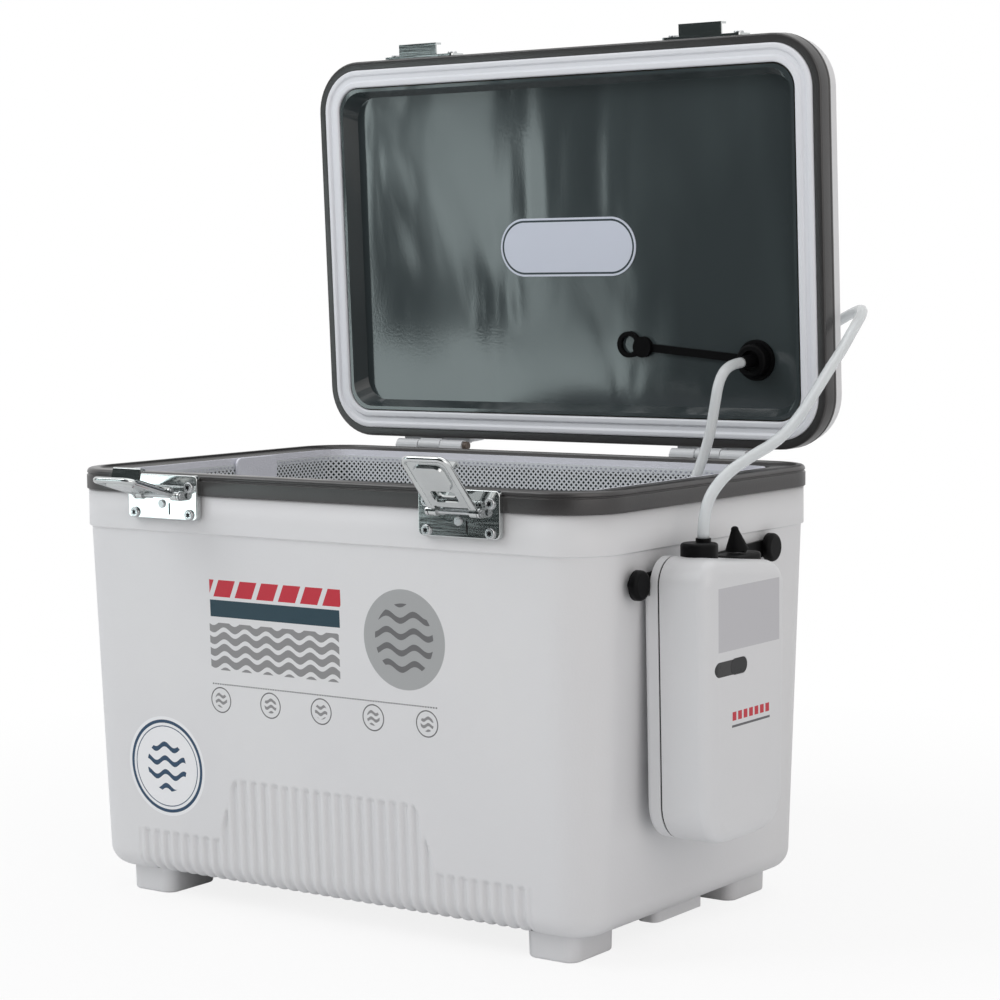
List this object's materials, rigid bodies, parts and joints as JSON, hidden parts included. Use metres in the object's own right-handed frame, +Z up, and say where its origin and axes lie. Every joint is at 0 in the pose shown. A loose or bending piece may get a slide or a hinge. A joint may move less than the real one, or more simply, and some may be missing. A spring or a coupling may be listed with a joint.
{
  "type": "aerated bait bucket",
  "caption": "Insulated live bait box with a hinged lid, draw latches, a removable net liner and a battery air pump whose hose runs through the lid",
  "frame": {"origin": "on the floor, under the middle of the box", "axes": "+X to the box's right, where the pump hangs; +Y to the back, where the lid is hinged; +Z up"},
  "size_m": [0.3925, 0.3464, 0.487],
  "materials": {
    "white_shell": "satin",
    "rim_grey": "satin",
    "slate_liner": "glossy",
    "foam": "matte",
    "white_gasket": "satin",
    "net_fabric": "matte",
    "latch_chrome": "polished",
    "steel": "brushed",
    "white_hinge": "satin",
    "pin_brown": "satin",
    "pump_white": "satin",
    "black_plastic": "satin",
    "black_rubber": "matte",
    "hose_silicone": "glossy",
    "label_white": "satin",
    "window_grey": "glossy",
    "cell_jacket": "satin",
    "motor_metal": "brushed",
    "air_stone": "rough"
  },
  "bodies": {
    "box": {"air_stone": "air_stone", "corner_feet": "white_shell", "foam_core": "foam", "hanger_strap": "black_plastic", "hinge_body_leaves": "white_hinge", "hinge_body_screws": "steel", "hinge_pins": "pin_brown", "inner_hose": "hose_silicone", "inner_liner": "white_shell", "latch_lever_pins": "steel", "latch_plate_rivets": "steel", "latch_plate_screws": "steel", "left_latch_plate": "latch_chrome", "net_bag": "net_fabric", "net_hem": "net_fabric", "net_tab": "net_fabric", "outer_hose": "hose_silicone", "outer_shell": "white_shell", "power_window": "window_grey", "pump_batteries": "cell_jacket", "pump_clip": "steel", "pump_diaphragm": "black_plastic", "pump_front_case": "pump_white", "pump_motor": "motor_metal", "pump_outlet": "black_plastic", "pump_rear_case": "pump_white", "pump_seal": "black_rubber", "pump_switch_base": "black_plastic", "right_latch_plate": "latch_chrome", "rim_trim": "rim_grey", "strap_knobs": "black_plastic", "under_pads": "white_shell"},
    "lid": {"lid_shell": "white_shell", "lid_band": "rim_grey", "lid_foam": "foam", "lid_liner": "slate_liner", "lid_gasket": "white_gasket", "lid_label": "label_white", "lid_grommet": "black_rubber", "hose_connector": "black_plastic", "vent_plug": "black_rubber", "left_keeper": "latch_chrome", "right_keeper": "latch_chrome", "keeper_screws": "steel", "hinge_lid_leaves": "white_hinge", "hinge_lid_screws": "steel"},
    "left_lever": {"left_lever": "latch_chrome", "left_claw_pin": "steel"},
    "right_lever": {"right_lever": "latch_chrome", "right_claw_pin": "steel"},
    "left_claw": {"left_claw": "latch_chrome"},
    "right_claw": {"right_claw": "latch_chrome"},
    "switch": {"switch_boot": "black_rubber"}
  },
  "joints": [
    {"name": "lid_hinge", "type": "hinge", "parent": "box", "child": "lid", "pos_m": [0, 0.1224, 0.2418], "axis": [1, 0, 0], "range_deg": [0, 87.46], "deforming": ["outer_hose", "inner_hose"]},
    {"name": "left_lever_turn", "type": "hinge", "parent": "box", "child": "left_lever", "pos_m": [-0.1, -0.1246, 0.2286], "axis": [1, 0, 0], "range_deg": [0, 106.5]},
    {"name": "left_claw_turn", "type": "hinge", "parent": "left_lever", "child": "left_claw", "pos_m": [-0.1, -0.12682, 0.23166], "axis": [1, 0, 0], "range_deg": [-180.2, 0]},
    {"name": "right_lever_turn", "type": "hinge", "parent": "box", "child": "right_lever", "pos_m": [0.1, -0.1246, 0.2286], "axis": [1, 0, 0], "range_deg": [0, 137.6]},
    {"name": "right_claw_turn", "type": "hinge", "parent": "right_lever", "child": "right_claw", "pos_m": [0.1, -0.12492, 0.23237], "axis": [1, 0, 0], "range_deg": [-180.2, 0]},
    {"name": "pump_switch", "type": "hinge", "parent": "box", "child": "switch", "pos_m": [0.197, -0.013, 0.205], "axis": [-1, 0, 0], "range_deg": [0, 24]}
  ],
  "couplings": [
    {"joint": "left_claw_turn", "follows": "left_lever_turn", "ratio": -1.6901},
    {"joint": "right_claw_turn", "follows": "right_lever_turn", "ratio": -1.3081}
  ]
}
